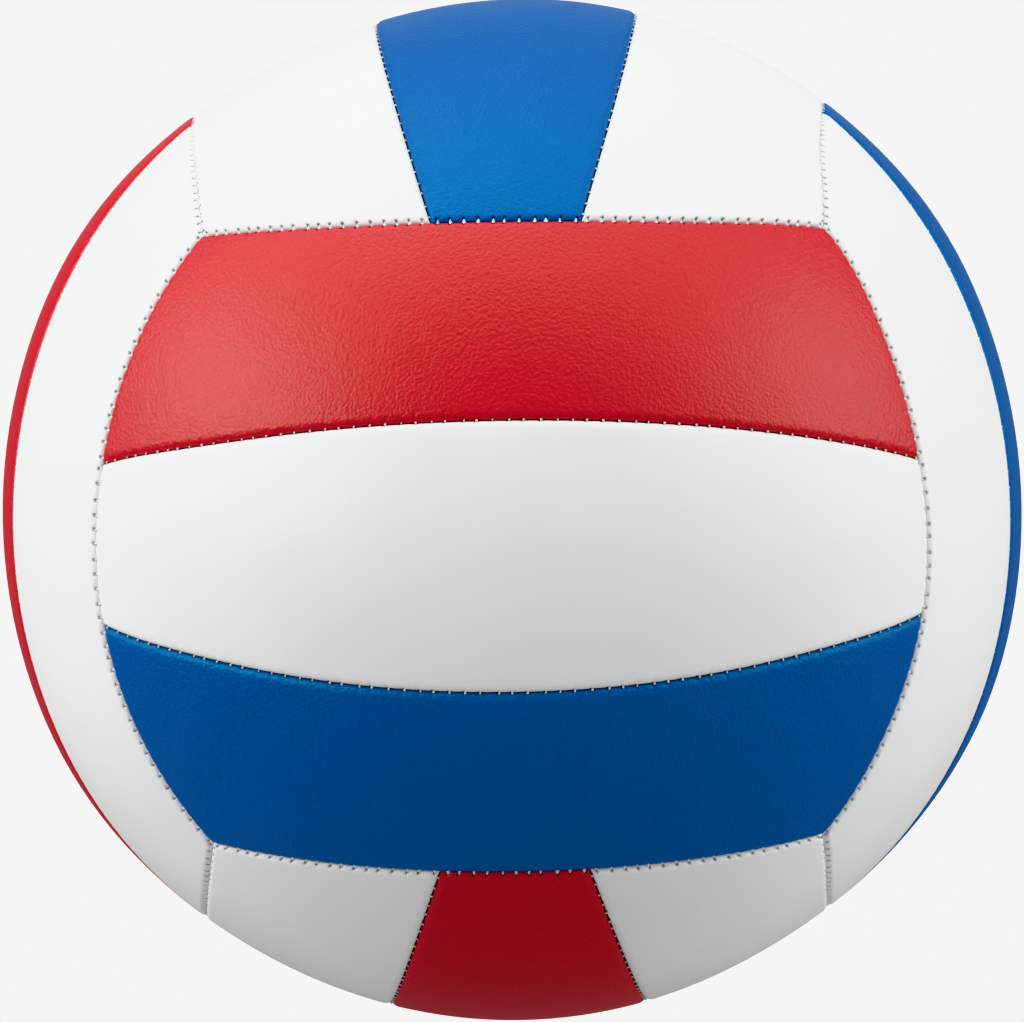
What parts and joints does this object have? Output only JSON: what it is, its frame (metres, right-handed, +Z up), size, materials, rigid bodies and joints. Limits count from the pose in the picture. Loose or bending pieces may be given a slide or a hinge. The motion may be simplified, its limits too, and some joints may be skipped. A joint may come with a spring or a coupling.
{
  "type": "volleyball",
  "caption": "Round stitched ball with long padded panels in red, white and blue over a rubber bladder, with an inflation valve set in the rear face.",
  "frame": {"origin": "centre of the ball", "axes": "+Z up; -Y out of the front face, whose strips run along X; +Y out of the rear face along the valve"},
  "size_m": [0.2084, 0.2084, 0.2084],
  "materials": {
    "red_leather": "satin",
    "blue_leather": "satin",
    "white_leather": "satin",
    "foam": "matte",
    "thread": "matte",
    "bladder_rubber": "matte",
    "core_rubber": "matte"
  },
  "bodies": {
    "root": {"cover_front_lower": "blue_leather", "cover_front_middle": "white_leather", "cover_front_upper": "red_leather", "cover_rear_lower": "blue_leather", "cover_rear_middle": "white_leather", "cover_rear_upper": "red_leather", "cover_top_left": "white_leather", "cover_top_middle": "blue_leather", "cover_top_right": "white_leather", "cover_bottom_left": "white_leather", "cover_bottom_middle": "red_leather", "cover_bottom_right": "white_leather", "cover_left_front": "white_leather", "cover_left_middle": "red_leather", "cover_left_back": "white_leather", "cover_right_front": "white_leather", "cover_right_middle": "blue_leather", "cover_right_back": "white_leather", "foam_front_lower": "foam", "foam_front_middle": "foam", "foam_front_upper": "foam", "foam_rear_lower": "foam", "foam_rear_middle": "foam", "foam_rear_upper": "foam", "foam_top_left": "foam", "foam_top_middle": "foam", "foam_top_right": "foam", "foam_bottom_left": "foam", "foam_bottom_middle": "foam", "foam_bottom_right": "foam", "foam_left_front": "foam", "foam_left_middle": "foam", "foam_left_back": "foam", "foam_right_front": "foam", "foam_right_middle": "foam", "foam_right_back": "foam", "thread_front_lower": "thread", "thread_front_upper": "thread", "thread_rear_lower": "thread", "thread_rear_upper": "thread", "thread_top_left": "thread", "thread_top_right": "thread", "thread_bottom_left": "thread", "thread_bottom_right": "thread", "thread_left_front": "thread", "thread_left_back": "thread", "thread_right_front": "thread", "thread_right_back": "thread", "face_thread_1": "thread", "face_thread_2": "thread", "face_thread_3": "thread", "face_thread_4": "thread", "bladder": "bladder_rubber", "valve_housing": "bladder_rubber", "valve_core": "core_rubber"}
  },
  "joints": []
}
